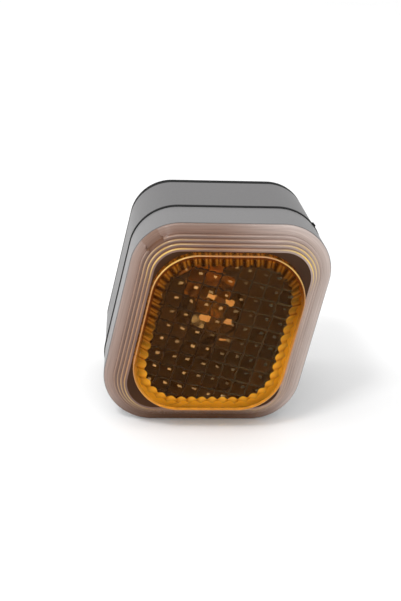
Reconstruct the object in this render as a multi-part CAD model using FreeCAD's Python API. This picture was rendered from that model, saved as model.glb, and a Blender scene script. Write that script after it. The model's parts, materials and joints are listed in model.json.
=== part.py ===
import math
import os

import FreeCAD
import Part

# Frame: rear mounting face at y = 0, lens towards -y, z up, in millimetres; "forward" runs along -y

# Housing outline at the front rim: a rounded parallelogram
WIDTH = 85.0
HEIGHT = 90.6
SLANT = math.radians(10.8)
CORNER_R = 21.2
DRAFT = 0.048
HOUSING_DEPTH = 60.0
SEAM = 37.8
WALL = 2.5

# Gaskets and fits
PAD_T = 4.0
SEAM_SEAL_T = 1.6
SEAM_SEAL_PROUD = 0.4
SEAL_TAB_W = 1.6
SEAL_TAB_OUT = 0.5
LENS_SEAL_T = 1.0
LENS_GAP = 0.2
HOOK_GAP = 0.2
BULB_GAP = 0.2
PIN_GAP = 0.1
PLATE_GAP = 0.1

# Front housing
LIP = 1.8
LEDGE_T = 3.0
LEDGE_W = 2.7
RECESS = 3.0
EAR_R = 6.5
EAR_T = 3.0

# Lens
COVER_INSET = 0.3
COVER_T = 0.8
BAND_W = 3.7
BAND_RISE = 1.2
RIDGES = 4
RIDGE_STEP = 1.4
RIDGE_RISE = 1.5
RIDGE_BEVEL = 0.6
BOX_STEP = 0.3
BOX_RISE = 3.5
BOX_CORNER_R = 20.0
BOX_BEVEL = 0.5
FACE_T = 2.2
RING_W = 4.5
POCKET_DEPTH = 3.8
FLUTE_SLOPE = 1.0
SKIRT_W = 3.0
SKIRT_RISE = 3.0
STEP_W = 3.0
FLUTES = 48
FLUTE_DEPTH = 1.2
CELL_LEAN = math.radians(14.4)
CELL_PITCH = 6.45
CELL_HALF = 2.9
CELL_TOP_HALF = 1.5
CELL_H = 0.7
CELL_EDGE = 0.4
LEG_W = 9.0
LEG_T = 1.6
LEG_X = 14.0
HOOK_H = 1.2
HOOK_OUT = 1.0
NOTCH_W = 8.0
NOTCH_DEEP = 5.0
NOTCH_FLOOR = 0.4

# Housing screws
PILLAR_R = 4.0
PILLAR_REACH = 8.7
SCREW_R = 1.5
SCREW_HOLE_R = 1.7
SCREW_LENGTH = 15.0
SCREW_SPARE = 1.0
SCREW_HEAD_R = 3.0
SCREW_HEAD_H = 2.0

# Mounting studs and cable inlet
STUD_R = 2.5
STUD_COLLAR_R = 2.8
STUD_COLLAR_OUT = 1.0
STUD_HOLE_GAP = 0.5
STUD_OUT = 16.0
STUD_SPACING = 50.0
STUD_HEAD_R = 4.5
STUD_HEAD_H = 3.0
STUD_BOSS_WALL = 2.0
STUD_SKIN = 1.0
INLET_CLEAR = 1.4
INLET_R = 6.0
INLET_BORE_R = 3.5
INLET_FLANGE = 2.0
INLET_FLANGE_T = 1.5
INLET_RECESS = 0.4
INLET_GAP = 1.0

# Bulb holder
PLATE_STAND = 9.5
PLATE_T = 1.0
PLATE_W = 36.0
PLATE_H = 24.0
PLATE_SCREW_X = 14.0
PLATE_BOSS_R = 3.6
PLATE_SCREW_L = 9.0
TUBE_T = 0.6
TUBE_BACK = 4.0
TUBE_FRONT = 13.0
TUBE_FLANGE_R = 10.2
TUBE_LIP_T = 1.0
TUBE_LIP_W = 1.2
BASE_T = 3.0
LEAF_T = 0.4
LEAF_W = 4.0
LEAF_HALF = 4.2
LEAF_REACH = 2.5
LEAF_RISE = 2.6
RIVET_R = 1.3
RIVET_HEAD_R = 2.2
RIVET_HEAD_H = 0.7
TAB_T = 0.8
TAB_W = 6.3
TAB_LENGTH = 5.0

# Bulb
CAP_R = 7.5
CAP_T = 0.5
CAP_LENGTH = 13.0
CAP_HOLE_R = 5.5
INSULATOR_H = 1.6
TIP_R = 2.0
TIP_H = 0.8
PIN_R = 1.0
PIN_OUT = 1.4
PIN_UP = 7.0
NECK_LENGTH = 4.0
GLOBE_R = 12.5
GLOBE_T = 0.8
GLOBE_UP = 11.5
GLOBE_STEPS = 6
STEM_R = 3.0
STEM_H = 6.2
LEAD_R = 0.35
LEAD_X = 2.2
LEAD_H = 8.0
FILAMENT_R = 0.5

INLET_Z = -(PLATE_SCREW_X + PLATE_BOSS_R + INLET_CLEAR + INLET_FLANGE + INLET_R)
AXIS = FreeCAD.Vector(0, -1, 0)


def at(x, forward, z):
    return FreeCAD.Vector(x, -forward, z)


def cylinder(radius, start, end, x=0.0, z=0.0):
    return Part.makeCylinder(radius, end - start, at(x, start, z), AXIS)


def block(x0, x1, start, end, z0, z1):
    return Part.makeBox(x1 - x0, end - start, z1 - z0, at(x0, end, z0))


def corners(inset):
    half_w = WIDTH / 2 - inset / math.cos(SLANT)
    half_h = HEIGHT / 2 - inset
    lean = math.tan(SLANT) * half_h
    top = [(half_w + lean, half_h), (-half_w + lean, half_h)]
    bottom = [(-half_w - lean, -half_h), (half_w - lean, -half_h)]
    return top + bottom


# Start, middle, end, centre and turn of each corner arc
def corner_arcs(forward, inset, radius):
    points = [at(x, forward, z) for x, z in corners(inset)]
    arcs = []
    for i in range(4):
        here = points[i]
        to_last = (points[i - 1] - here).normalize()
        to_next = (points[(i + 1) % 4] - here).normalize()
        half = to_last.getAngle(to_next) / 2
        run = radius / math.tan(half)
        inward = (to_last + to_next).normalize()
        centre = here + inward * (radius / math.sin(half))
        start, end = here + to_last * run, here + to_next * run
        arcs.append((start, centre - inward * radius, end, centre, math.pi - 2 * half))
    return arcs


def rounded(forward, inset, radius):
    arcs = corner_arcs(forward, inset, radius)
    edges = []
    for i in range(4):
        edges.append(Part.Arc(*arcs[i][:3]).toShape())
        edges.append(Part.makeLine(arcs[i][2], arcs[(i + 1) % 4][0]))
    return Part.Wire(edges)


# Drafted block between two outlines whose corner arcs share their centres
def frustum(start, inset, end, end_inset, radius):
    end_radius = radius - (end_inset - inset)
    lower = corner_arcs(start, inset, radius)
    upper = corner_arcs(end, end_inset, end_radius)
    faces = [Part.Face(rounded(start, inset, radius)), Part.Face(rounded(end, end_inset, end_radius))]
    for i in range(4):
        edge = Part.makeLine(lower[i][0], upper[i][0])
        faces.append(edge.revolve(lower[i][3], AXIS, math.degrees(lower[i][4])))
        after = (i + 1) % 4
        flat = [lower[i][2], lower[after][0], upper[after][0], upper[i][2], lower[i][2]]
        faces.append(Part.Face(Part.makePolygon(flat)))
    shell = Part.makeShell(faces)
    shell.sewShape()
    block_ = Part.makeSolid(shell)
    if block_.Volume < 0:
        block_.reverse()
    return block_


def slab(start, end, inset, radius):
    return Part.Face(rounded(start, inset, radius)).extrude(AXIS * (end - start))


def offset_slab(start, end, inset):
    return slab(start, end, inset, CORNER_R - inset)


def drafted(start, end, inset):
    first = inset + DRAFT * (HOUSING_DEPTH - start)
    last = inset + DRAFT * (HOUSING_DEPTH - end)
    return frustum(start, first, end, last, CORNER_R - first)


def turned(profile):
    points = [FreeCAD.Vector(radius, -forward, 0) for radius, forward in profile]
    return Part.Face(Part.makePolygon(points + points[:1])).revolve(at(0, 0, 0), AXIS, 360)


def fused(shapes):
    return shapes[0].multiFuse(shapes[1:]).removeSplitter()


def cut(shape, tools):
    return shape.cut(tools).removeSplitter()


def bevelled_slab(start, end, inset, radius, bevel):
    edge = frustum(end - bevel, inset, end, inset + bevel, radius)
    return slab(start, end - bevel, inset, radius).fuse(edge)


def corner_spots(reach):
    spots = []
    for (x, z), sign in zip(corners(0.0), (1, -1, 1, -1)):
        half = (math.pi / 2 - sign * SLANT) / 2
        length = math.hypot(x, z)
        diagonal = CORNER_R / math.sin(half) - reach
        spots.append((x - x / length * diagonal, z - z / length * diagonal))
    return spots


def pan_screw(seat, length, x, z):
    rim = cylinder(SCREW_HEAD_R, seat, seat + SCREW_HEAD_H / 2, x, z)
    crown_r = SCREW_HEAD_R - SCREW_HEAD_H / 2
    crown = Part.makeCone(SCREW_HEAD_R, crown_r, SCREW_HEAD_H / 2, at(x, seat + SCREW_HEAD_H / 2, z), AXIS)
    return fused([rim, crown, cylinder(SCREW_R, seat - length, seat, x, z)])


floor = PAD_T + WALL
plate_seat = floor + PLATE_STAND
spots = corner_spots(PILLAR_REACH + PILLAR_R)
seam_front = SEAM + SEAM_SEAL_T
ear_front = seam_front + EAR_T
stud_spots = [(-STUD_SPACING / 2, 0.0), (STUD_SPACING / 2, 0.0)]
plate_spots = [(0.0, PLATE_SCREW_X), (0.0, -PLATE_SCREW_X)]
stud_head_start = PAD_T + STUD_SKIN
stud_boss_end = stud_head_start + STUD_HEAD_H + STUD_SKIN


# Rear housing: drafted tub with screw pillars, stud bosses, holder bosses and the cable inlet
def rear_housing():
    tub = cut(drafted(PAD_T, SEAM, 0.0), [drafted(floor, SEAM, WALL)])
    posts = [cylinder(PILLAR_R, PAD_T, seam_front, x, z) for x, z in spots]
    posts += [cylinder(STUD_HEAD_R + STUD_BOSS_WALL, PAD_T, stud_boss_end, x, z) for x, z in stud_spots]
    posts += [cylinder(PLATE_BOSS_R, PAD_T, plate_seat, x, z) for x, z in plate_spots]
    pilot = SCREW_LENGTH + SCREW_SPARE
    holes = [cylinder(SCREW_R, ear_front - pilot, seam_front, x, z) for x, z in spots]
    head_end = stud_head_start + STUD_HEAD_H
    holes += [cylinder(STUD_HEAD_R, stud_head_start, head_end, x, z) for x, z in stud_spots]
    holes += [cylinder(STUD_COLLAR_R, PAD_T, stud_head_start, x, z) for x, z in stud_spots]
    plate_pilot = PLATE_SCREW_L - PLATE_T + SCREW_SPARE
    holes += [cylinder(SCREW_R, plate_seat - plate_pilot, plate_seat, x, z) for x, z in plate_spots]
    holes.append(cylinder(INLET_R, PAD_T, floor, 0.0, INLET_Z))
    return cut(fused([tub] + posts), holes)


# Front housing: drafted frame with screw ears, the lens ledge and a thin lip round the lens
def front_housing():
    shell = drafted(seam_front, HOUSING_DEPTH, 0.0)
    ledge_end = HOUSING_DEPTH - RECESS
    ledge_start = ledge_end - LEDGE_T
    frame = shell.cut(drafted(seam_front, ledge_start, WALL))
    frame = frame.cut(offset_slab(ledge_start, ledge_end, WALL + LEDGE_W))
    frame = cut(frame, [offset_slab(ledge_end, HOUSING_DEPTH, LIP)])
    ears = [cylinder(EAR_R, seam_front, ear_front, x, z).common(shell) for x, z in spots]
    holes = [cylinder(SCREW_HOLE_R, seam_front, ear_front, x, z) for x, z in spots]
    return cut(fused([frame] + ears), holes)


def mounting_pad():
    total = DRAFT * HOUSING_DEPTH
    holes = [cylinder(STUD_COLLAR_R + STUD_HOLE_GAP, 0.0, PAD_T, x, z) for x, z in stud_spots]
    holes.append(cylinder(INLET_R + INLET_FLANGE + INLET_GAP, 0.0, PAD_T, 0.0, INLET_Z))
    return slab(0.0, PAD_T, total, CORNER_R - total).cut(holes)


# Seam seal: thin rubber frame standing a little proud, with its moulding tab at the upper right
def seam_seal():
    total = DRAFT * (HOUSING_DEPTH - SEAM) - SEAM_SEAL_PROUD
    frame = offset_slab(SEAM, seam_front, total)
    x, z = corners(total)[0]
    reach = math.hypot(x, z) - (CORNER_R - total) * (1 / math.sin((math.pi / 2 - SLANT) / 2) - 1)
    tab = block(0.0, reach + SEAL_TAB_OUT, SEAM, seam_front, -SEAL_TAB_W / 2, SEAL_TAB_W / 2)
    tab.rotate(at(0, 0, 0), FreeCAD.Vector(0, 1, 0), -math.degrees(math.atan2(z, x)))
    opening = offset_slab(SEAM, seam_front, WALL + DRAFT * (HOUSING_DEPTH - SEAM))
    return cut(fused([frame, tab]), [opening])


def fluted_outline(forward, inset, radius):
    ring = rounded(forward, inset, radius).discretize(Number=2 * FLUTES + 1)
    edges = []
    for i in range(FLUTES):
        first, middle, last = ring[2 * i], ring[2 * i + 1], ring[(2 * i + 2) % (2 * FLUTES)]
        inward = (last - first).cross(AXIS).normalize()
        if inward.dot(at(middle.x, 0, middle.z)) > 0:
            inward = inward * -1
        edges.append(Part.Arc(first, middle + inward * FLUTE_DEPTH, last).toShape())
    return Part.Wire(edges)


# Pocket that widens backwards, its sloping wall a row of rounded ribs all the way round
def fluted_pocket(start, end, inset, radius):
    spread = FLUTE_SLOPE * (end - start)
    wires = [fluted_outline(start, inset - spread, radius + spread), fluted_outline(end, inset, radius)]
    return Part.makeLoft(wires, True, True)


def prism_cell(face, x, z):
    side = FreeCAD.Vector(math.sin(CELL_LEAN), 0, math.cos(CELL_LEAN))
    across = FreeCAD.Vector(math.cos(CELL_LEAN), 0, -math.sin(CELL_LEAN))
    wires = []
    for half, forward in ((CELL_HALF, face), (CELL_TOP_HALF, face - CELL_H)):
        centre = at(x, forward, z)
        signs = ((1, 1), (-1, 1), (-1, -1), (1, -1))
        points = [centre + across * (i * half) + side * (j * half) for i, j in signs]
        wires.append(Part.makePolygon(points + points[:1]))
    return Part.makeLoft(wires, True, True)


def prism_cells(face, inset, radius):
    reach = FLUTE_DEPTH + CELL_HALF * math.sqrt(2) + CELL_EDGE
    limit = Part.Face(rounded(face, inset + reach, radius - reach))
    count = int(HEIGHT / CELL_PITCH / 2)
    places = [(i + 0.5) * CELL_PITCH for i in range(-count, count)]
    cells = []
    for u in places:
        for v in places:
            x = u * math.cos(CELL_LEAN) + v * math.sin(CELL_LEAN)
            z = v * math.cos(CELL_LEAN) - u * math.sin(CELL_LEAN)
            if limit.isInside(at(x, face, z), 1e-6, True):
                cells.append(prism_cell(face, x, z))
    return cells


# Lens: cover flange, smooth band, stepped ridges and a raised box with a fluted pocket and prism cells
def lens():
    seat = HOUSING_DEPTH - RECESS + LENS_SEAL_T
    rim = HOUSING_DEPTH + COVER_T
    plug = LIP + LENS_GAP
    ridge_start = rim + BAND_RISE
    first_inset = COVER_INSET + BAND_W
    layers = [offset_slab(seat, HOUSING_DEPTH, plug), offset_slab(HOUSING_DEPTH, rim, COVER_INSET)]
    layers.append(frustum(rim, COVER_INSET, ridge_start, first_inset, CORNER_R - COVER_INSET))
    for i in range(RIDGES):
        inset = first_inset + i * RIDGE_STEP
        start = ridge_start + i * RIDGE_RISE
        layers.append(bevelled_slab(start, start + RIDGE_RISE, inset, CORNER_R - inset, RIDGE_BEVEL))
    gutter = ridge_start + RIDGES * RIDGE_RISE
    box_inset = first_inset + RIDGES * RIDGE_STEP + BOX_STEP
    front = gutter + BOX_RISE
    layers.append(bevelled_slab(gutter, front, box_inset, BOX_CORNER_R, BOX_BEVEL))
    body = fused(layers)
    skirt_end = seat + SKIRT_RISE
    face = front - FACE_T
    pocket_inset = box_inset + RING_W
    pocket_r = BOX_CORNER_R - RING_W
    step_end = face - POCKET_DEPTH
    skirt = plug + SKIRT_W
    hollows = [offset_slab(seat, skirt_end, skirt)]
    hollows.append(offset_slab(skirt_end, step_end, skirt + STEP_W))
    hollows.append(fluted_pocket(step_end, face, pocket_inset, pocket_r))
    body = cut(body, hollows)
    hook_start = HOUSING_DEPTH - RECESS - LEDGE_T - HOOK_GAP - HOOK_H
    leg_z = HEIGHT / 2 - WALL - LEDGE_W - LENS_GAP
    legs = []
    for x in (-LEG_X, LEG_X):
        x0, x1 = x - LEG_W / 2, x + LEG_W / 2
        for side in (-1, 1):
            shaft = sorted((side * (leg_z - LEG_T), side * leg_z))
            hook = sorted((side * (leg_z - LEG_T), side * (leg_z + HOOK_OUT)))
            legs.append(block(x0, x1, hook_start, skirt_end, *shaft))
            legs.append(block(x0, x1, hook_start, hook_start + HOOK_H, *hook))
    body = fused([body] + legs + prism_cells(face, pocket_inset, pocket_r))
    x, z = corner_spots(CORNER_R - COVER_INSET)[1]
    notch = block(-NOTCH_DEEP, NOTCH_DEEP, rim + NOTCH_FLOOR, gutter, -NOTCH_W / 2, NOTCH_W / 2)
    notch.rotate(at(0, 0, 0), FreeCAD.Vector(0, 1, 0), -math.degrees(math.atan2(z, x)))
    notch.translate(FreeCAD.Vector(x, 0, z))
    return cut(body, [notch])


def lens_seal():
    start = HOUSING_DEPTH - RECESS
    inset = LIP + 2 * LENS_GAP
    ring = offset_slab(start, start + LENS_SEAL_T, inset)
    return ring.cut(offset_slab(start, start + LENS_SEAL_T, LIP + SKIRT_W))


def cable_grommet():
    outer = INLET_R + INLET_FLANGE
    body = [cylinder(INLET_R, PAD_T, floor, 0.0, INLET_Z)]
    body.append(cylinder(outer, INLET_RECESS, PAD_T, 0.0, INLET_Z))
    body.append(cylinder(outer, floor, floor + INLET_FLANGE_T, 0.0, INLET_Z))
    bore = cylinder(INLET_BORE_R, INLET_RECESS, floor + INLET_FLANGE_T, 0.0, INLET_Z)
    return cut(fused(body), [bore])


def mounting_studs():
    studs = []
    for x, z in stud_spots:
        head = cylinder(STUD_HEAD_R, stud_head_start, stud_head_start + STUD_HEAD_H, x, z)
        collar = cylinder(STUD_COLLAR_R, -STUD_COLLAR_OUT, stud_head_start, x, z)
        studs.append(fused([head, collar, cylinder(STUD_R, -STUD_OUT, -STUD_COLLAR_OUT, x, z)]))
    return Part.makeCompound(studs)


plate_front = plate_seat + PLATE_T
tube_r = CAP_R + BULB_GAP
tube_back = plate_seat - TUBE_BACK
base_back = tube_back + TUBE_LIP_T
base_front = base_back + BASE_T
tip_back = base_front + LEAF_RISE
tip_front = tip_back + TIP_H
cap_back = tip_front + INSULATOR_H - CAP_T
cap_front = cap_back + CAP_LENGTH
pin_at = cap_back + PIN_UP
neck_back = cap_front - NECK_LENGTH
globe_at = cap_front + GLOBE_UP
stem_back = neck_back + GLOBE_T


def holder_plate():
    plate = block(-PLATE_H / 2, PLATE_H / 2, plate_seat, plate_front, -PLATE_W / 2, PLATE_W / 2)
    holes = [cylinder(tube_r + TUBE_T + PLATE_GAP, plate_seat, plate_front)]
    holes += [cylinder(SCREW_HOLE_R, plate_seat, plate_front, x, z) for x, z in plate_spots]
    return cut(plate, holes)


# Bulb holder tube: flange on the plate, crimped lip behind, a bayonet slot on each side
def holder_tube():
    front = plate_front + TUBE_FRONT
    outer = tube_r + TUBE_T
    profile = [(tube_r - TUBE_LIP_W, tube_back), (outer, tube_back), (outer, plate_front)]
    profile += [(TUBE_FLANGE_R, plate_front), (TUBE_FLANGE_R, plate_front + TUBE_T)]
    profile += [(outer, plate_front + TUBE_T), (outer, front), (tube_r, front)]
    profile += [(tube_r, base_back), (tube_r - TUBE_LIP_W, base_back)]
    half = PIN_R + PIN_GAP
    slots = []
    for side in (-1, 1):
        x0, x1 = sorted((side * (tube_r - TUBE_T), side * (outer + TUBE_T)))
        turn = sorted((side * half, -side * 4 * half))
        entry = sorted((-side * 2 * half, -side * 4 * half))
        slots.append(block(x0, x1, pin_at - half, pin_at + half, *turn))
        slots.append(block(x0, x1, pin_at - half, front, *entry))
    return cut(turned(profile), slots)


def holder_base():
    disc = cylinder(tube_r, base_back, base_front)
    return disc.cut(cylinder(RIVET_R, base_back, base_front))


def contact_leaf():
    top = base_front + LEAF_RISE
    outline = [(-LEAF_HALF, base_front), (LEAF_HALF, base_front), (LEAF_HALF, top), (-LEAF_REACH, top)]
    outline += [(-LEAF_REACH, top - LEAF_T), (LEAF_HALF - LEAF_T, top - LEAF_T)]
    outline += [(LEAF_HALF - LEAF_T, base_front + LEAF_T), (-LEAF_HALF, base_front + LEAF_T)]
    points = [at(x, forward, -LEAF_W / 2) for x, forward in outline]
    strip = Part.Face(Part.makePolygon(points + points[:1])).extrude(FreeCAD.Vector(0, 0, LEAF_W))
    return strip.cut(cylinder(RIVET_R, base_front, base_front + LEAF_T))


def feed_terminal():
    back = base_back - TAB_T
    foot = block(-LEAF_HALF, LEAF_HALF, back, base_back, -TAB_W / 2, TAB_W / 2)
    blade = block(LEAF_HALF - TAB_T, LEAF_HALF, back - TAB_LENGTH, base_back, -TAB_W / 2, TAB_W / 2)
    return cut(fused([foot, blade]), [cylinder(RIVET_R, back, base_back)])


def contact_rivet():
    back = base_back - TAB_T
    front = base_front + LEAF_T
    shank = cylinder(RIVET_R, back, front)
    rear_head = cylinder(RIVET_HEAD_R, back - RIVET_HEAD_H, back)
    front_head = cylinder(RIVET_HEAD_R, front, front + RIVET_HEAD_H)
    return fused([shank, rear_head, front_head])


def earth_terminal():
    x, z = plate_spots[0]
    start, end = plate_front, plate_front + TAB_T
    ring = cylinder(TAB_W / 2, start, end, x, z)
    blade = block(x, x + PLATE_H / 2 + TAB_LENGTH, start, end, z - TAB_W / 2, z + TAB_W / 2)
    return cut(fused([ring, blade]), [cylinder(SCREW_HOLE_R, start, end, x, z)])


def plate_screws():
    seats = (plate_front + TAB_T, plate_front)
    screws = [pan_screw(seat, PLATE_SCREW_L, x, z) for seat, (x, z) in zip(seats, plate_spots)]
    return Part.makeCompound(screws)


def bulb_tip():
    return cylinder(TIP_R, tip_back, tip_front)


def bulb_insulator():
    return cylinder(CAP_HOLE_R, tip_front, tip_front + INSULATOR_H)


# Bulb cap: thin drawn shell with two bayonet pins
def bulb_cap():
    shell = cylinder(CAP_R, cap_back, cap_front).cut(cylinder(CAP_R - CAP_T, cap_back + CAP_T, cap_front))
    shell = shell.cut(cylinder(CAP_HOLE_R, cap_back, cap_back + CAP_T))
    pins = []
    for side in (-1, 1):
        start = at(side * (CAP_R - CAP_T / 2), pin_at, 0)
        pins.append(Part.makeCylinder(PIN_R, PIN_OUT, start, FreeCAD.Vector(side, 0, 0)))
    return fused([shell] + pins)


def globe_profile(radius, neck_r):
    low = -math.acos(neck_r / radius)
    turns = [low + (math.pi / 2 - low) * i / GLOBE_STEPS for i in range(GLOBE_STEPS + 1)]
    points = [(radius * math.cos(a), globe_at + radius * math.sin(a)) for a in turns[:-1]]
    return points + [(0.0, globe_at + radius)]


def bulb_glass():
    neck_r = CAP_R - CAP_T
    bore_r = neck_r - GLOBE_T
    outer = [(0.0, neck_back), (neck_r, neck_back)] + globe_profile(GLOBE_R, neck_r)
    inner = [(0.0, stem_back), (bore_r, stem_back)] + globe_profile(GLOBE_R - GLOBE_T, bore_r)
    return turned(outer).cut(turned(inner))


def bulb_stem():
    return cylinder(STEM_R, stem_back, stem_back + STEM_H)


def filament():
    top = stem_back + STEM_H + LEAD_H
    leads = [cylinder(LEAD_R, stem_back + STEM_H, top, x, 0.0) for x in (-LEAD_X, LEAD_X)]
    span = 2 * (LEAD_X + LEAD_R)
    coil = Part.makeCylinder(FILAMENT_R, span, at(-span / 2, top, 0), FreeCAD.Vector(1, 0, 0))
    return fused([coil] + leads)


def housing_screws():
    return Part.makeCompound([pan_screw(ear_front, SCREW_LENGTH, x, z) for x, z in spots])


NODES = [rear_housing, front_housing, mounting_pad, seam_seal, lens, lens_seal, cable_grommet, mounting_studs,
         housing_screws, holder_plate, plate_screws, holder_tube, holder_base, contact_leaf, contact_rivet,
         feed_terminal, earth_terminal, bulb_tip, bulb_insulator, bulb_cap, bulb_glass, bulb_stem, filament]

os.makedirs("parts", exist_ok=True)
for make in NODES:
    make().exportStep("parts/" + make.__name__ + ".step")
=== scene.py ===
import json
import math

import bmesh
import bpy
from mathutils import Matrix, Vector, geometry, noise


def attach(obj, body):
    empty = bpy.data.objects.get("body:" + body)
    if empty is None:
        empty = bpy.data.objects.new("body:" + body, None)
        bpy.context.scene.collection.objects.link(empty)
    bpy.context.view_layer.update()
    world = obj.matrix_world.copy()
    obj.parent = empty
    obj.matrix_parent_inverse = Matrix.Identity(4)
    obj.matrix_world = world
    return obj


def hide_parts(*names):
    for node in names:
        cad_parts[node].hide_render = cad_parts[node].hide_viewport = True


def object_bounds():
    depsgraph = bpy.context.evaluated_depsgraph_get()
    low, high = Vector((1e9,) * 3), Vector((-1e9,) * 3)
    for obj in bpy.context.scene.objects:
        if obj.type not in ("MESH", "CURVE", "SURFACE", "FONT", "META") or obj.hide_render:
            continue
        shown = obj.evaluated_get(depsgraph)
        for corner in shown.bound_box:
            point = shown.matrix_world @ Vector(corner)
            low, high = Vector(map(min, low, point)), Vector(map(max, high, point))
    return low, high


MM = 0.001

# Lens sizes in millimetres, the same as the solid's; "forward" runs along -y from the rear face
WIDTH = 85.0
HEIGHT = 90.6
SLANT = math.radians(10.8)
CORNER_R = 21.2
COVER = 60.0
SEAT = COVER - 2.0
RIM = COVER + 0.8
PLUG_INSET = 2.0
COVER_INSET = 0.3
BAND_W = 3.7
BAND_RISE = 1.2
RIDGES = 4
RIDGE_STEP = 1.4
RIDGE_RISE = 1.5
BOX_STEP = 0.3
BOX_RISE = 3.5
BOX_CORNER_R = 20.0
FACE_T = 2.2
RING_W = 4.5
POCKET_DEPTH = 3.8
FLUTES = 48
FLUTE_DEPTH = 1.2
SKIRT_INSET = 5.0
SKIRT_RISE = 3.0
STEP_INSET = 8.0
CELL_LEAN = math.radians(14.4)
CELL_PITCH = 6.45
CELL_H = 0.7
NOTCH_W = 8.0
NOTCH_DEEP = 5.0
NOTCH_FLOOR = RIM + 0.4
LEG_X = 14.0
LEG_W = 9.0
LEG_T = 1.6
LEG_Z = 39.9
LEG_BACK = 52.6
HOOK_H = 1.2
HOOK_OUT = 1.0

RIDGE_START = RIM + BAND_RISE
FIRST_INSET = COVER_INSET + BAND_W
GUTTER = RIDGE_START + RIDGES * RIDGE_RISE
BOX_INSET = FIRST_INSET + RIDGES * RIDGE_STEP + BOX_STEP
FRONT = GUTTER + BOX_RISE
FACE = FRONT - FACE_T
POCKET_BACK = FACE - POCKET_DEPTH
POCKET_INSET = BOX_INSET + RING_W
POCKET_R = BOX_CORNER_R - RING_W
SKIRT_END = SEAT + SKIRT_RISE

# Fineness and edge rounding of the lens mesh
ARC_STEPS = 48
SIDE_STEPS = 60
BAND_STEPS = 10
ROUND_STEPS = 3
CELL_STEPS = 16
CELL_MARGIN = 0.5
CELL_FADE = 1.5
RIM_ROUND = 0.25
RIDGE_ROUND = 0.6
BOX_ROUND = 0.5
EMBER_W = 1.0
CDT_INSIDE = 1
CDT_EPSILON = 1e-6

# Zones of the strips over one ridge and over the edge of the box
RIDGE_ZONES = ("wall", "wall", "line", "line", "tread")
BOX_ZONES = ("box_wall", "gold", "gold", "gold")

# Finish of each lens zone, and the finishes that take their colour from the painted tints
FINISHES = ["rim", "front", "box", "ember", "cells", "flute"]
ZONE_FINISH = {
    "band": "rim",
    "tread": "rim",
    "line": "rim",
    "wall": "rim",
    "gold": "rim",
    "glint": "rim",
    "bulb_reflection": "rim",
    "gutter": "flute",
    "flute": "flute",
    "ledge": "flute",
    "border": "flute",
    "front": "front",
    "box_wall": "box",
    "cells": "cells",
    "ember": "ember",
}
PAINTED = ("rim", "ember", "flute")

# Colours of the painted lens zones at their dark and their light end; "inner" ones are those by the box.
# Both ends are painted light and shade: the band, ridges and box edge carry painted reflections, lighter
# toward the right and darker by the box and in the gutter, with painted highlights on the rounded edges;
# the ribs, the ledge and the strip by the box's front edge carry a painted glow; the cells' spots and
# borders are painted highlights, painted reflections of the bulb and painted shade
TINTS = {
    "band": ((0.245, 0.16, 0.125), (0.53, 0.44, 0.40)),
    "inner_band": ((0.18, 0.09, 0.058), (0.43, 0.335, 0.29)),
    "tread": ((0.175, 0.10, 0.072), (0.40, 0.30, 0.255)),
    "line": ((0.26, 0.15, 0.10), (0.43, 0.335, 0.29)),
    "inner_line": ((0.30, 0.155, 0.07), (0.42, 0.31, 0.25)),
    "wall": ((0.18, 0.10, 0.07), (0.38, 0.285, 0.25)),
    "inner_wall": ((0.15, 0.065, 0.035), (0.26, 0.17, 0.13)),
    "gutter": ((0.045, 0.02, 0.009), (0.045, 0.022, 0.012)),
    "gold": ((0.40, 0.16, 0.025), (0.42, 0.19, 0.05)),
    "rib": ((0.05, 0.014, 0.002), (1.0, 0.58, 0.08)),
    "groove": ((0.45, 0.19, 0.03), (0.50, 0.16, 0.005)),
    "ledge": ((0.24, 0.045, 0.003), (1.0, 0.52, 0.05)),
    "ember": ((0.17, 0.04, 0.003), (0.75, 0.34, 0.04)),
    "border": ((0.034, 0.016, 0.007), (0.05, 0.033, 0.02)),
    "glint": ((0.50, 0.30, 0.14), (0.035, 0.022, 0.014)),
    "bulb_reflection": ((0.60, 0.25, 0.055), (0.60, 0.25, 0.055)),
}
# Painted highlight at the rim's corners
CORNER_HIGHLIGHT = (0.85, 0.56, 0.11)
# Painted shade toward the bottom of the rim
LOW_SHADE = (0.10, 0.042, 0.018)
# Painted shade in the prising notch
NOTCH_SHADE = (0.17, 0.07, 0.03)

# Direction in which a tint turns from dark to light, and where it starts and ends in millimetres. These
# leans are painted light and shade: the rim's painted reflections grow lighter toward the right, the
# ribs' painted glow grows brighter toward the bottom, and the cells' painted glints and borders change
# toward the right
RIM_LEAN = (Vector((1.0, 0.1)), 0.0, 42.0)
FLUTE_LEAN = (Vector((0.3, -0.95)), -16.0, 26.0)
GLINT_LEAN = (Vector((0.9, -0.2)), -8.0, 16.0)

# Ranges in millimetres and strengths of the tints' local changes, all of them painted light and shade:
# the band lighter at the far left, painted shade along the bottom, painted highlights at the corners,
# painted shade across the ring of ribs, painted shade in the notch and streaks of painted reflection
LEFT_SHARE = 0.25
LEFT_RANGE = (15.0, 40.0)
LOW_RANGE = (33.0, 43.0)
CORNER_UP = (16.0, 34.0)
CORNER_OUT = (12.0, 30.0)
CORNER_LEFT = 0.5
CORNER_LOW = 0.3
GROOVE_POWER = 0.5
TOOTH_POWER = 2.0
FLUTE_FADE = 0.5
LIGHT_FADE = 0.25
NOTCH_SHARE = 0.45
REFLECTION_STREAK = 0.22
STREAK_LENGTH = 14.0
STREAK_LINES = 9.0

# Bright spots of the optic cells, painted highlights, and their borders, painted dark lines of shade, in
# parts of a cell from its middle
GLINT_AT = Vector((0.175, 0.18))
GLINT_HALF = Vector((0.11, 0.08))
GLINT_STRAY = 0.12
GLINT_VARY = 1.0
BORDER_FROM = 0.45

# Unevenness of those spots and borders in millimetres, and the seed of their noise
WOBBLE = 0.6
WOBBLE_LENGTH = 2.0
NOISE_SEED = 7

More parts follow.
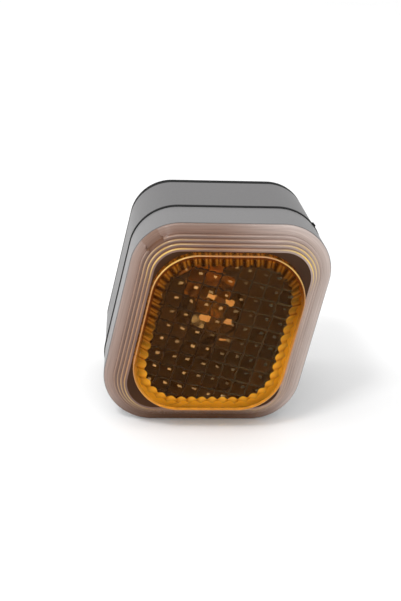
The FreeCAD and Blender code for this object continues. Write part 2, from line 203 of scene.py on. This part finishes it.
# Larger spots in front of the bulb, painted reflections of the bulb and its holder: middle and half size
# in millimetres
BULB_REFLECTIONS = [
    ((-3.5, 16.3), (1.8, 1.0)),
    ((4.1, 13.7), (1.7, 1.0)),
    ((-5.9, 6.8), (2.3, 1.2)),
    ((3.7, 5.1), (1.5, 1.2)),
    ((1.7, -3.2), (1.3, 0.5)),
]

# Mounting studs in millimetres: head, collar and the thread on the free end
STUD_SPACING = 50.0
STUD_HEAD_R = 4.5
STUD_HEAD_FRONT = 8.0
STUD_HEAD_BACK = 5.0
STUD_COLLAR_R = 2.8
STUD_R = 2.5
STUD_END = -16.0
STUD_CHAMFER = 0.8
STUD_SEGMENTS = 40
THREAD_FROM = -1.0
THREAD_PITCH = 0.8
THREAD_DEEP = 0.45
THREAD_STEPS = 8
STUD_STEPS = [
    (STUD_HEAD_FRONT, STUD_HEAD_R),
    (STUD_HEAD_BACK, STUD_HEAD_R),
    (STUD_HEAD_BACK, STUD_COLLAR_R),
    (THREAD_FROM, STUD_COLLAR_R),
    (THREAD_FROM, STUD_R),
]

# Grain of the finishes, smoothing limits in degrees and the moulded edges of the housings
GRAIN_DETAIL = 4
GRAIN_SPREAD = 0.15
GRAIN_RELIEF = 0.2 * MM
SMOOTH_ANGLE = 35
LENS_SMOOTH_ANGLE = 30
EDGE_ROUND = 0.5 * MM
EDGE_SEGMENTS = 3
EDGE_ANGLE = 50

# Floor and camera in metres; the camera's own right and up directions, its lens and sensor in millimetres
FLOOR_SIZE = 8
CAMERA_AT = Vector((-0.063822, -0.600688, 0.252428))
CAMERA_X = Vector((0.99539, -0.08227, 0.04921))
CAMERA_Y = Vector((-0.01126, 0.4094, 0.91229))
CAMERA_LENS = 85.57
CAMERA_SENSOR = 36
CAMERA_NEAR = 0.01
BOUNCES = 16


# Points of the slanted outline, moved in by the inset, anticlockwise seen from the front
def outline(inset, radius):
    half_w = WIDTH / 2 - inset / math.cos(SLANT)
    half_h = HEIGHT / 2 - inset
    lean = math.tan(SLANT) * half_h
    right = Vector((lean + half_w, half_h))
    left = Vector((lean - half_w, half_h))
    corners = [right, left, -right, -left]
    arcs = []
    for i, corner in enumerate(corners):
        to_last = (corners[i - 1] - corner).normalized()
        to_next = (corners[(i + 1) % 4] - corner).normalized()
        half = to_last.angle(to_next) / 2
        centre = corner + (to_last + to_next).normalized() * radius / math.sin(half)
        start = corner + to_last * radius / math.tan(half) - centre
        turns = [(math.pi - 2 * half) * k / ARC_STEPS for k in range(ARC_STEPS + 1)]
        arcs.append([centre + Matrix.Rotation(turn, 2) @ start for turn in turns])
    points = []
    for i, arc in enumerate(arcs):
        begin = arcs[(i + 1) % 4][0]
        points += arc + [arc[-1].lerp(begin, k / SIDE_STEPS) for k in range(1, SIDE_STEPS)]
    return points


def offset_outline(inset):
    return outline(inset, CORNER_R - inset)


# Distance of a point from the slanted middle line, measured level
def across_middle(p):
    return p.x - p.y * math.tan(SLANT)


# How far a point lies inside the slanted outline
def edge_distance(p, inset, radius):
    across = across_middle(p)
    side = (WIDTH / 2 - abs(across)) * math.cos(SLANT) - inset
    end = HEIGHT / 2 - inset - abs(p.y)
    a = radius - side
    b = radius - end
    if a <= 0 or b <= 0:
        return min(side, end)
    lean = -math.sin(SLANT) * math.copysign(1, across * p.y)
    return radius - math.sqrt(a * a + b * b - 2 * a * b * lean) / math.cos(SLANT)


# How far each outline point stands in on its rib: 0 in a groove, 1 on a crest
def rib_shape(points):
    lengths = [0.0]
    for i, p in enumerate(points):
        lengths.append(lengths[-1] + (points[(i + 1) % len(points)] - p).length)
    return [math.sin(math.pi * (length / lengths[-1] * FLUTES % 1.0)) for length in lengths[:-1]]


def ribbed(inset, radius):
    points = outline(inset, radius)
    ribs = []
    for i, (p, rise) in enumerate(zip(points, rib_shape(points))):
        along = (points[(i + 1) % len(points)] - points[i - 1]).normalized()
        ribs.append(p + Vector((-along.y, along.x)) * FLUTE_DEPTH * rise)
    return ribs


# Whether a point lies in the prising notch at the upper left corner
def in_notch(p):
    corner = Vector((-WIDTH / 2 + math.tan(SLANT) * HEIGHT / 2, HEIGHT / 2))
    out = corner.normalized()
    half = (math.pi / 2 + SLANT) / 2
    edge = corner.length - CORNER_R / math.sin(half) + CORNER_R - COVER_INSET
    return p.dot(out) > edge - NOTCH_DEEP and abs(p.cross(out)) < NOTCH_W / 2


def blend(first, last, share):
    return [a + (b - a) * share for a, b in zip(first, last)]


def shaded(color, shade):
    return [c * shade for c in color]


def ramp(value, start, end):
    share = min(max((value - start) / (end - start), 0.0), 1.0)
    return share * share * (3 - 2 * share)


def leaning(p, lean):
    return ramp(p.dot(lean[0]), lean[1], lean[2])


# Tint of the ribs, a painted glow with painted shade: their flanks glow at the dark end, their crests at
# the light end
def flute_tint(p, rise):
    flank = (4 * rise * (1 - rise)) ** TOOTH_POWER
    dark = blend(TINTS["rib"][0], TINTS["groove"][0], flank)
    light = blend(TINTS["groove"][1], TINTS["rib"][1], rise ** GROOVE_POWER)
    inner = ramp(edge_distance(p, POCKET_INSET, POCKET_R), -POCKET_DEPTH, 0.0)
    dark = shaded(dark, 1 - FLUTE_FADE * inner)
    light = shaded(light, 1 - LIGHT_FADE * (1 - inner))
    return blend(dark, light, leaning(p, FLUTE_LEAN))


# Tint of the band, the ridges, the gutter and the edge of the box: painted reflections lighter toward the
# right, painted shade by the box, in the gutter and along the bottom, painted highlights at the corners
# and streaks of painted reflection
def rim_tint(zone, depth, p):
    share = leaning(p, RIM_LEAN)
    if zone == "band":
        share = max(share, LEFT_SHARE * ramp(-p.x, *LEFT_RANGE))
    color = blend(*TINTS[zone], share)
    if "inner_" + zone in TINTS:
        color = blend(color, blend(*TINTS["inner_" + zone], share), depth)
    # Painted highlights at the upper corners, brighter to the right, and fainter ones at the lower left
    upper = ramp(p.y, *CORNER_UP) * (CORNER_LEFT + (1 - CORNER_LEFT) * share)
    lower = ramp(-p.y, *CORNER_UP) * (1 - share) * CORNER_LOW
    corner = ramp(abs(across_middle(p)), *CORNER_OUT) * (upper + lower)
    if zone == "gold":
        return blend(color, CORNER_HIGHLIGHT, corner)
    if zone == "line":
        color = blend(color, CORNER_HIGHLIGHT, corner * depth)
    # Painted shade along the bottom, fading toward the right; the gutter is left out
    if zone != "gutter":
        color = blend(color, LOW_SHADE, (1 - share) * ramp(-p.y, *LOW_RANGE))
    # Painted shade in the notch
    if in_notch(p):
        color = blend(color, NOTCH_SHADE, NOTCH_SHARE)
    # Streaks of painted reflection along the rim's lines
    place = Vector((p.x / STREAK_LENGTH, p.y / STREAK_LENGTH, depth * STREAK_LINES))
    return shaded(color, 1 + REFLECTION_STREAK * noise.noise(place))


# Colour of one lens corner; depth runs from the outer edge of its kind of zone to the one by the box
def tint(zone, depth, p, rise):
    if zone == "flute":
        return flute_tint(p, rise)
    # The ledge and the strip along the box's front edge carry the ribs' painted glow, brighter toward the
    # bottom
    if zone in ("ledge", "ember"):
        return blend(*TINTS[zone], leaning(p, FLUTE_LEAN))
    # Painted reflections of the bulb, painted highlights and painted shaded borders, changing toward the
    # right
    if zone in ("bulb_reflection", "border"):
        return blend(*TINTS[zone], leaning(p, GLINT_LEAN))
    if zone == "glint":
        shade = 1 + GLINT_VARY * noise.noise(Vector((p.x, p.y, 0)) / CELL_PITCH)
        return shaded(blend(*TINTS[zone], leaning(p, GLINT_LEAN)), shade)
    return rim_tint(zone, depth, p)


# Inset and forward of the points round an outer edge
def rounded_edge(inset, forward, size):
    turns = [math.pi / 2 * i / ROUND_STEPS for i in range(ROUND_STEPS + 1)]
    return [(inset + size * (1 - math.cos(a)), forward - size * (1 - math.sin(a))) for a in turns]


# Outside of the lens from seat to front edge: points, forward, zone of the strip that ends there, depth
def outside_loops():
    loops = []
    for inset, forward in [(PLUG_INSET, SEAT), (PLUG_INSET, COVER), (COVER_INSET, COVER)]:
        loops.append((offset_outline(inset), forward, "band", 0.0))
    for inset, forward in rounded_edge(COVER_INSET, RIM, RIM_ROUND):
        loops.append((offset_outline(inset), forward, "band", 0.0))
    band_inset = COVER_INSET + RIM_ROUND
    for k in range(1, BAND_STEPS + 1):
        share = k / BAND_STEPS
        inset = band_inset + (FIRST_INSET - band_inset) * share
        loops.append((offset_outline(inset), RIM + BAND_RISE * share, "band", share))
    for i in range(RIDGES):
        inset = FIRST_INSET + i * RIDGE_STEP
        top = RIDGE_START + (i + 1) * RIDGE_RISE
        profile = rounded_edge(inset, top, RIDGE_ROUND) + [(inset + RIDGE_STEP, top)]
        for (at, forward), zone in zip(profile, RIDGE_ZONES):
            loops.append((offset_outline(at), forward, zone, i / (RIDGES - 1)))
    loops.append((outline(BOX_INSET, BOX_CORNER_R), GUTTER, "gutter", 0.0))
    for (at, forward), zone in zip(rounded_edge(BOX_INSET, FRONT, BOX_ROUND), BOX_ZONES):
        loops.append((outline(at, BOX_CORNER_R + BOX_INSET - at), forward, zone, 0.0))
    inner = BOX_ROUND + EMBER_W
    loops.append((outline(BOX_INSET + inner, BOX_CORNER_R - inner), FRONT, "ember", 0.0))
    return loops


# Inside of the lens from the edge of its pocket back to its seat, in the same form
def inside_loops():
    spread = POCKET_DEPTH
    loops = [(ribbed(POCKET_INSET, POCKET_R), FACE, "cells", 0.0)]
    loops.append((ribbed(POCKET_INSET - spread, POCKET_R + spread), POCKET_BACK, "flute", 0.0))
    loops.append((offset_outline(STEP_INSET), POCKET_BACK, "ledge", 0.0))
    for inset, forward in [(STEP_INSET, SKIRT_END), (SKIRT_INSET, SKIRT_END), (SKIRT_INSET, SEAT)]:
        loops.append((offset_outline(inset), forward, "cells", 0.0))
    return loops


# Pillow-shaped optic cells: grid points with their heights, kept clear of the ribs
def cell_points():
    side = Vector((math.sin(CELL_LEAN), math.cos(CELL_LEAN)))
    across = Vector((math.cos(CELL_LEAN), -math.sin(CELL_LEAN)))
    count = int(HEIGHT / CELL_PITCH / 2) * CELL_STEPS
    points = []
    heights = []
    for i in range(-count, count + 1):
        for j in range(-count, count + 1):
            p = (across * i + side * j) * CELL_PITCH / CELL_STEPS
            room = edge_distance(p, POCKET_INSET, POCKET_R) - FLUTE_DEPTH
            if room > CELL_MARGIN:
                u, v = (2 * (k / CELL_STEPS % 1.0) - 1 for k in (i, j))
                points.append(p)
                heights.append(CELL_H * (1 - u * u) * (1 - v * v) * min(room / CELL_FADE, 1.0))
    return points, heights


# Zone of one place on the face with the cells: a painted reflection of the bulb, a painted highlight
# spot, a painted shaded border or plain
def cell_zone(p):
    turn = Matrix.Rotation(CELL_LEAN, 2)
    p = p + noise.noise_vector(Vector((p.x, p.y, 0)) / WOBBLE_LENGTH).to_2d() * WOBBLE
    for middle, half in BULB_REFLECTIONS:
        offset = turn @ (p - Vector(middle))
        if abs(offset.x) < half[0] and abs(offset.y) < half[1]:
            return "bulb_reflection"
    place = turn @ p / CELL_PITCH
    cell = Vector((math.floor(place.x), math.floor(place.y), 0.5))
    offset = place - cell.to_2d() - Vector((0.5, 0.5))
    spot = offset - GLINT_AT - noise.noise_vector(cell).to_2d() * GLINT_STRAY
    if abs(spot.x) < GLINT_HALF.x and abs(spot.y) < GLINT_HALF.y:
        return "glint"
    return "border" if max(abs(offset.x), abs(offset.y)) > BORDER_FROM else "cells"


def outward(mesh):
    work = bmesh.new()
    work.from_mesh(mesh)
    bmesh.ops.recalc_face_normals(work, faces=work.faces)
    work.to_mesh(mesh)
    work.free()


# Points and faces of the lens, with the finish of each face and the tint of each of its corners
class LensMesh:
    def __init__(self):
        self.verts = []
        self.faces = []
        self.finishes = []
        self.colors = []

    def point(self, p, forward):
        self.verts.append((p.x * MM, -forward * MM, p.y * MM))

    def face(self, corners, zone, depth=0.0, rises=None):
        self.faces.append(corners)
        self.finishes.append(FINISHES.index(ZONE_FINISH[zone]))
        for i, v in enumerate(corners):
            color = [1, 1, 1]
            if ZONE_FINISH[zone] in PAINTED:
                x, _, z = self.verts[v]
                color = tint(zone, depth, Vector((x, z)) / MM, rises[i] if rises else 0.0)
            self.colors += color + [1]

    # Quads between two loops of points, given by their places in the order of loops
    def strip(self, a, b, zone, depth, rises):
        count = len(rises)
        for i in range(count):
            n = (i + 1) % count
            corners = (a * count + i, a * count + n, b * count + n, b * count + i)
            self.face(corners, zone, depth, (rises[i], rises[n], rises[n], rises[i]))

    def block(self, x, back, front, z0, z1):
        first = len(self.verts)
        for forward in (back, front):
            for dx, z in ((-LEG_W / 2, z0), (LEG_W / 2, z0), (LEG_W / 2, z1), (-LEG_W / 2, z1)):
                self.point(Vector((x + dx, z)), forward)
        quads = [(0, 1, 2, 3), (7, 6, 5, 4)]
        quads += [(i, i + 4, (i + 1) % 4 + 4, (i + 1) % 4) for i in range(4)]
        for quad in quads:
            self.face([first + i for i in quad], "cells")

    def finished(self):
        mesh = bpy.data.meshes.new("lens_visual")
        mesh.from_pydata(self.verts, [], self.faces)
        mesh.polygons.foreach_set("material_index", self.finishes)
        layer = mesh.color_attributes.new("tint", "FLOAT_COLOR", "CORNER")
        layer.data.foreach_set("color", self.colors)
        outward(mesh)
        return mesh


# Face with the optic cells, joined to the ribbed edge of the pocket
def add_cells(shell, pocket, pocket_edge):
    count = len(pocket)
    points, heights = cell_points()
    cells_from = len(shell.verts)
    for p, height in zip(points, heights):
        shell.point(p, FACE - height)
    edges = [(i, (i + 1) % count) for i in range(count)]
    found = geometry.delaunay_2d_cdt(pocket + points, edges, [], CDT_INSIDE, CDT_EPSILON)
    places, _, triangles, sources, _, _ = found
    first = [names[0] for names in sources]
    index = [pocket_edge + i if i < count else cells_from + i - count for i in first]
    for triangle in triangles:
        centre = sum((places[i] for i in triangle), Vector((0, 0))) / 3
        shell.face([index[i] for i in triangle], cell_zone(centre))


def add_legs(shell):
    for x in (-LEG_X, LEG_X):
        for side in (-1, 1):
            shell.block(x, LEG_BACK, SKIRT_END, side * (LEG_Z - LEG_T), side * LEG_Z)
            shell.block(x, LEG_BACK, LEG_BACK + HOOK_H, side * LEG_Z, side * (LEG_Z + HOOK_OUT))


def lens_mesh():
    shell = LensMesh()
    outside = outside_loops()
    inside = inside_loops()
    loops = outside + inside
    for points, forward, _, _ in loops:
        for p in points:
            shell.point(p, min(forward, NOTCH_FLOOR) if in_notch(p) else forward)
    pocket = inside[0][0]
    pocket_edge = len(outside) * len(pocket)
    rises = rib_shape(pocket)
    for j in range(1, len(loops)):
        if j != len(outside):
            shell.strip(j - 1, j, *loops[j][2:], rises)
    shell.strip(len(loops) - 1, 0, "cells", 0.0, rises)
    shell.face(range(pocket_edge - len(pocket), pocket_edge), "front")
    add_cells(shell, pocket, pocket_edge)
    add_legs(shell)
    return shell.finished()


# Radius of the threaded end of a stud at one place, with run-out at the collar and a chamfered tip
def thread_radius(forward, turn):
    groove = abs(2 * ((forward / THREAD_PITCH - turn) % 1.0) - 1)
    runout = ramp(THREAD_FROM - forward, 0.0, THREAD_PITCH)
    chamfer = max(STUD_CHAMFER - (forward - STUD_END), 0.0)
    return min(STUD_R - THREAD_DEEP * groove * runout, STUD_R - chamfer)


# Both studs as stacked rings; a ring without a radius lies on the thread
def stud_mesh():
    count = round((THREAD_FROM - STUD_END) / THREAD_PITCH * THREAD_STEPS)
    length = STUD_END - THREAD_FROM
    rings = STUD_STEPS + [(THREAD_FROM + length * i / count, None) for i in range(1, count + 1)]
    verts = []
    faces = []
    for x in (-STUD_SPACING / 2, STUD_SPACING / 2):
        first = len(verts)
        for forward, radius in rings:
            for k in range(STUD_SEGMENTS):
                turn = k / STUD_SEGMENTS
                angle = 2 * math.pi * turn
                r = radius or thread_radius(forward, turn)
                verts.append(((x + r * math.cos(angle)) * MM, -forward * MM, r * math.sin(angle) * MM))
        last = len(verts) - STUD_SEGMENTS
        for a in range(first, last, STUD_SEGMENTS):
            b = a + STUD_SEGMENTS
            for k in range(STUD_SEGMENTS):
                n = (k + 1) % STUD_SEGMENTS
                faces.append((a + k, b + k, b + n, a + n))
        faces.append(range(first, first + STUD_SEGMENTS))
        faces.append(range(last, last + STUD_SEGMENTS))
    mesh = bpy.data.meshes.new("studs_visual")
    mesh.from_pydata(verts, [], faces)
    outward(mesh)
    return mesh


# Principled finish with a fine grain in its roughness and relief; no colour means the painted lens tints
def material(name, color, roughness, metallic=0.0, grain=900.0, bump=0.02, **more):
    finish = bpy.data.materials.new(name)
    finish.use_nodes = True
    tree = finish.node_tree
    shader = tree.nodes["Principled BSDF"]
    shader.inputs["Metallic"].default_value = metallic
    if color:
        shader.inputs["Base Color"].default_value = (*color, 1)
    else:
        painted = tree.nodes.new("ShaderNodeVertexColor")
        painted.layer_name = "tint"
        tree.links.new(painted.outputs["Color"], shader.inputs["Base Color"])
    for key, value in more.items():
        shader.inputs[key.replace("_", " ")].default_value = value
    where = tree.nodes.new("ShaderNodeTexCoord")
    grains = tree.nodes.new("ShaderNodeTexNoise")
    grains.inputs["Scale"].default_value = grain
    grains.inputs["Detail"].default_value = GRAIN_DETAIL
    tree.links.new(where.outputs["Object"], grains.inputs["Vector"])
    spread = tree.nodes.new("ShaderNodeMapRange")
    spread.inputs["To Min"].default_value = roughness * (1 - GRAIN_SPREAD)
    spread.inputs["To Max"].default_value = roughness * (1 + GRAIN_SPREAD)
    tree.links.new(grains.outputs["Fac"], spread.inputs["Value"])
    tree.links.new(spread.outputs["Result"], shader.inputs["Roughness"])
    relief = tree.nodes.new("ShaderNodeBump")
    relief.inputs["Strength"].default_value = bump
    relief.inputs["Distance"].default_value = GRAIN_RELIEF
    tree.links.new(grains.outputs["Fac"], relief.inputs["Height"])
    tree.links.new(relief.outputs["Normal"], shader.inputs["Normal"])
    return finish


def amber(name, color, roughness, ior=1.49, **more):
    return material(name, color, roughness, grain=300.0, bump=0.01, IOR=ior, **more)


# Clearing resets the finish of every face, so a mesh without materials isn't cleared
def dress(obj, finish, angle=SMOOTH_ANGLE):
    if obj.data.materials:
        obj.data.materials.clear()
    obj.data.materials.append(finish)
    obj.data.shade_smooth()
    obj.data.set_sharp_from_angle(angle=math.radians(angle))


def softbox(name, place, aim, size, power):
    data = bpy.data.lights.new(name, "AREA")
    data.size = size
    data.energy = power
    lamp = bpy.data.objects.new(name, data)
    lamp.location = place
    lamp.rotation_euler = (Vector(aim) - Vector(place)).to_track_quat("-Z", "Y").to_euler()
    scene.collection.objects.link(lamp)


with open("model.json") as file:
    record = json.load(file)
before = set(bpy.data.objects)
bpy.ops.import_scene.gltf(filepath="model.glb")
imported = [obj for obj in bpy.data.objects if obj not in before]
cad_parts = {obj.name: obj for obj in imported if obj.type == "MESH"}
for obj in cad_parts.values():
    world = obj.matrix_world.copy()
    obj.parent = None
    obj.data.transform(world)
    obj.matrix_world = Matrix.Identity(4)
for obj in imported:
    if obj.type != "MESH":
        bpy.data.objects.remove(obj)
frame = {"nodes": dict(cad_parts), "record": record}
cad_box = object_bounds()
nodes = frame["nodes"]
scene = bpy.context.scene

LOOKS = {
    "housing": material("housing", (0.10, 0.097, 0.098), 0.42, bump=0.15, grain=1400.0),
    # The front shell's finish is the same housing plastic painted lighter: painted light
    "front_housing": material("front_housing", (0.15, 0.146, 0.147), 0.42, bump=0.15, grain=1400.0),
    "rim": amber("amber_rim", None, 0.1, Transmission_Weight=0.2),
    "front": amber("amber_front", (0.97, 0.80, 0.45), 0.02, ior=1.1, Transmission_Weight=1.0),
    "box": amber("amber_box", (1.0, 0.45, 0.06), 0.05, ior=1.1, Transmission_Weight=0.95),
    "ember": amber("amber_ember", None, 0.1, ior=1.1, Transmission_Weight=0.6),
    "cells": amber("amber_cells", (0.60, 0.20, 0.03), 0.25, ior=1.15, Transmission_Weight=0.965),
    "flute": amber("amber_flute", None, 0.2, ior=1.15, Transmission_Weight=0.05),
    "rubber": material("rubber", (0.012, 0.012, 0.012), 0.7, bump=0.3, Specular_IOR_Level=0.1),
    "insulator": material("insulator", (0.05, 0.04, 0.035), 0.4),
    "brass": material("brass", (0.72, 0.55, 0.28), 0.28, metallic=1.0),
    "steel": material("steel", (0.46, 0.46, 0.47), 0.3, metallic=1.0),
    "black_steel": material("black_steel", (0.025, 0.024, 0.023), 0.35, metallic=0.4),
    "bulb_glass": material(
        "bulb_glass", (0.97, 0.97, 0.96), 0.02, bump=0.0, Transmission_Weight=1.0, IOR=1.5
    ),
}
LOOKS["amber"] = LOOKS["cells"]

# A node's own finish goes before that of its material slot
for part in frame["record"]["subparts"]:
    dress(nodes[part["node"]], LOOKS.get(part["node"], LOOKS[part["material_slot"]]))

# Moulded edges of the two housings
for name in ("rear_housing", "front_housing"):
    bevel = nodes[name].modifiers.new("edge", "BEVEL")
    bevel.width = EDGE_ROUND
    bevel.segments = EDGE_SEGMENTS
    bevel.limit_method = "ANGLE"
    bevel.angle_limit = math.radians(EDGE_ANGLE)

# Lens with its painted zones, one material for each finish; the seed gives the same spots on every run
noise.seed_set(NOISE_SEED)
lens = bpy.data.objects.new("lens_visual", lens_mesh())
scene.collection.objects.link(lens)
dress(lens, LOOKS["rim"], LENS_SMOOTH_ANGLE)
for finish in FINISHES[1:]:
    lens.data.materials.append(LOOKS[finish])
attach(lens, "root")
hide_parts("lens")

# Studs with their thread
studs = bpy.data.objects.new("studs_visual", stud_mesh())
scene.collection.objects.link(studs)
dress(studs, LOOKS["steel"])
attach(studs, "root")
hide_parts("mounting_studs")

# Floor, light and camera
bpy.ops.mesh.primitive_plane_add(size=FLOOR_SIZE, location=(0, 0, cad_box[0].z))
floor = bpy.context.object
floor.name = "floor"
dress(floor, material("floor", (0.9, 0.9, 0.9), 0.8, grain=40.0))

world = bpy.data.worlds.new("studio")
scene.world = world
world.use_nodes = True
background = world.node_tree.nodes["Background"]
background.inputs["Color"].default_value = (1, 1, 1, 1)
background.inputs["Strength"].default_value = 1.0

softbox("key", place=(-0.5, -0.6, 1.1), aim=(0, -0.03, 0), size=0.25, power=5)
softbox("front", place=(0.1, -1.2, 0.05), aim=(0, -0.07, -0.02), size=0.6, power=3.5)
softbox("left", place=(-1.0, -0.1, 0.25), aim=(0, -0.03, 0), size=0.8, power=5)

camera_data = bpy.data.cameras.new("camera")
camera_data.lens = CAMERA_LENS
camera_data.sensor_width = CAMERA_SENSOR
camera_data.clip_start = CAMERA_NEAR
camera = bpy.data.objects.new("camera", camera_data)
scene.collection.objects.link(camera)
facing = Matrix((CAMERA_X, CAMERA_Y, CAMERA_X.cross(CAMERA_Y))).transposed()
camera.matrix_world = Matrix.Translation(CAMERA_AT) @ facing.to_4x4()
scene.camera = camera

scene.view_settings.view_transform = "Standard"
scene.cycles.max_bounces = BOUNCES
scene.cycles.transmission_bounces = BOUNCES
